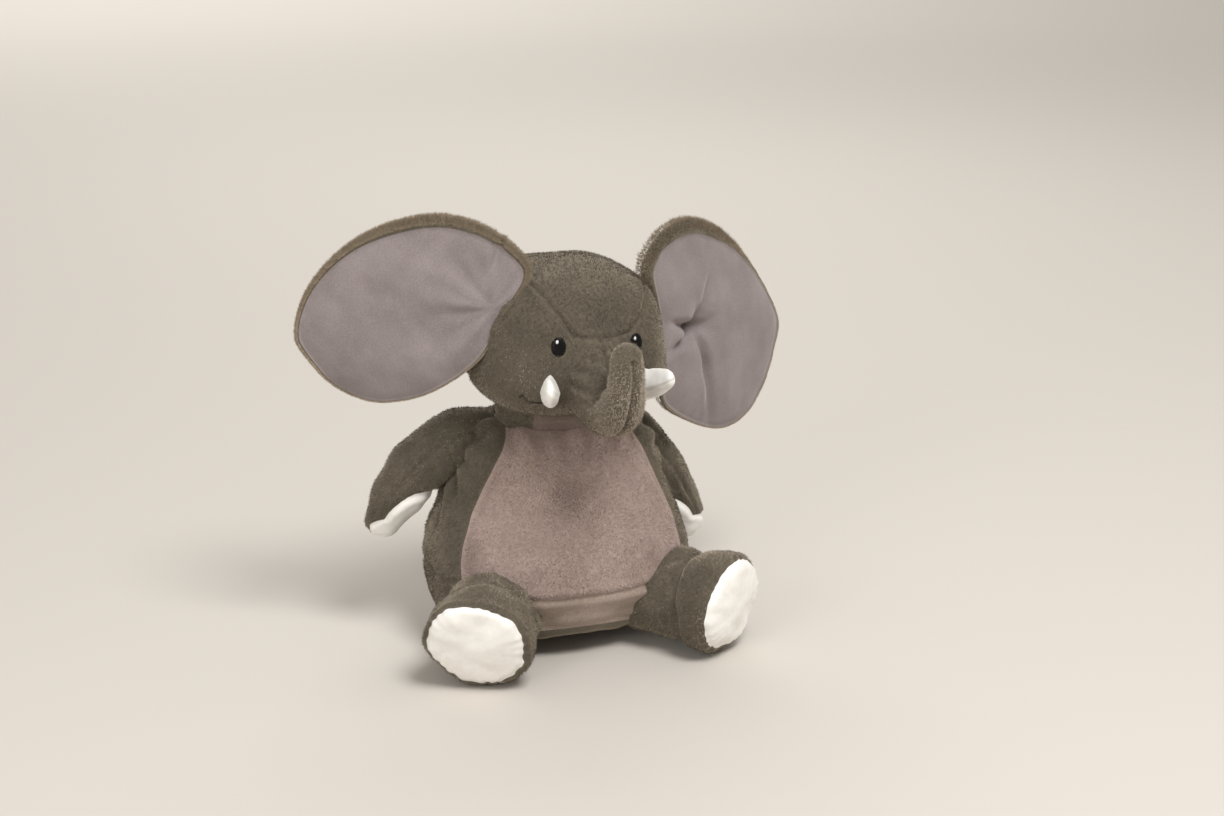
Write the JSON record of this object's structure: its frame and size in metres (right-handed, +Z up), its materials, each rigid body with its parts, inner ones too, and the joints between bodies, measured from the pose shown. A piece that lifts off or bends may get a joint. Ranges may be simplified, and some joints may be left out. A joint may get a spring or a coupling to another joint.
{
  "type": "stuffed elephant",
  "caption": "Sitting stuffed plush elephant with big ears, curled trunk, white tusks, paws and soles; head, ears, arms, legs and tail move.",
  "frame": {"origin": "middle of the flat seat that the elephant sits on", "axes": "+Z up; the body faces -Y; +X is the elephant's own left and the longest extent, across the ears"},
  "size_m": [0.3923, 0.2754, 0.3402],
  "materials": {
    "grey_plush": "short brushed pile",
    "mauve_lining": "smooth knitted pile",
    "belly_plush": "short pebbled pile",
    "lower_belly_plush": "smooth brushed pile",
    "white_satin": "smooth satin",
    "black_thread": "satin stitch",
    "white_thread": "satin stitch",
    "dark_thread": "running stitch",
    "filling": "loose fibre"
  },
  "bodies": {
    "torso": {"belly_panel": "belly_plush", "lower_belly_panel": "lower_belly_plush", "side_panel_right": "grey_plush", "side_panel_left": "grey_plush", "back_panel": "grey_plush", "seat_panel": "grey_plush", "torso_filling": "filling"},
    "neck": {"neck_skin": "belly_plush", "neck_filling": "filling"},
    "head": {"head_back_panel": "grey_plush", "forehead_gusset": "grey_plush", "face_panel_right": "grey_plush", "face_panel_left": "grey_plush", "head_filling": "filling", "eye_right": "black_thread", "eye_left": "black_thread", "eye_highlights": "white_thread", "mouth_stitches": "dark_thread", "tusk_right": "white_satin", "tusk_left": "white_satin", "tusk_fillings": "filling"},
    "tail": {"tail": "grey_plush"},
    "ear_right": {"ear_plush_right": "grey_plush", "ear_lining_right": "mauve_lining", "ear_wadding_right": "filling"},
    "arm_right": {"arm_skin_right": "grey_plush", "paw_pad_right": "white_satin", "arm_filling_right": "filling"},
    "leg_right": {"leg_skin_right": "grey_plush", "foot_band_right": "grey_plush", "foot_pad_right": "white_satin", "leg_filling_right": "filling"},
    "ear_left": {"ear_plush_left": "grey_plush", "ear_lining_left": "mauve_lining", "ear_wadding_left": "filling"},
    "arm_left": {"arm_skin_left": "grey_plush", "paw_pad_left": "white_satin", "arm_filling_left": "filling"},
    "leg_left": {"leg_skin_left": "grey_plush", "foot_band_left": "grey_plush", "foot_pad_left": "white_satin", "leg_filling_left": "filling"}
  },
  "joints": [
    {"name": "head_turn", "type": "hinge", "parent": "torso", "child": "neck", "pos_m": [0, -0.008, 0.177], "axis": [0, 0, 1], "range_deg": [-20, 20], "stiffness_Nm_per_rad": 1.5},
    {"name": "head_nod", "type": "hinge", "parent": "neck", "child": "head", "pos_m": [0, -0.008, 0.177], "axis": [1, 0, 0], "range_deg": [-10, 6], "stiffness_Nm_per_rad": 3},
    {"name": "ear_flap_right", "type": "hinge", "parent": "head", "child": "ear_right", "pos_m": [-0.05553, -0.05518, 0.26102], "axis": [0.4356, -0.1789, 0.8822], "range_deg": [-10, 20], "stiffness_Nm_per_rad": 0.5},
    {"name": "ear_flap_left", "type": "hinge", "parent": "head", "child": "ear_left", "pos_m": [0.06026, -0.04911, 0.25494], "axis": [-0.32, -0.2185, 0.9219], "range_deg": [-20, 10], "stiffness_Nm_per_rad": 0.5},
    {"name": "arm_swing_right", "type": "hinge", "parent": "torso", "child": "arm_right", "pos_m": [-0.078, 0.012, 0.152], "axis": [-0.9478, 0, 0.319], "range_deg": [-28, 15], "stiffness_Nm_per_rad": 0.6},
    {"name": "arm_swing_left", "type": "hinge", "parent": "torso", "child": "arm_left", "pos_m": [0.078, 0.012, 0.152], "axis": [0.9478, 0, 0.319], "range_deg": [-15, 28], "stiffness_Nm_per_rad": 0.6},
    {"name": "leg_lift_right", "type": "hinge", "parent": "torso", "child": "leg_right", "pos_m": [-0.058, -0.05, 0.0394], "axis": [-0.8572, 0.515, 0], "range_deg": [-20, 25], "stiffness_Nm_per_rad": 0.8},
    {"name": "leg_lift_left", "type": "hinge", "parent": "torso", "child": "leg_left", "pos_m": [0.058, -0.05, 0.0394], "axis": [-0.8572, -0.515, 0], "range_deg": [-20, 25], "stiffness_Nm_per_rad": 0.8},
    {"name": "tail_swing", "type": "hinge", "parent": "torso", "child": "tail", "pos_m": [0, 0.088, 0.064], "axis": [0, 1, 0], "range_deg": [-40, 40], "stiffness_Nm_per_rad": 0.02}
  ]
}
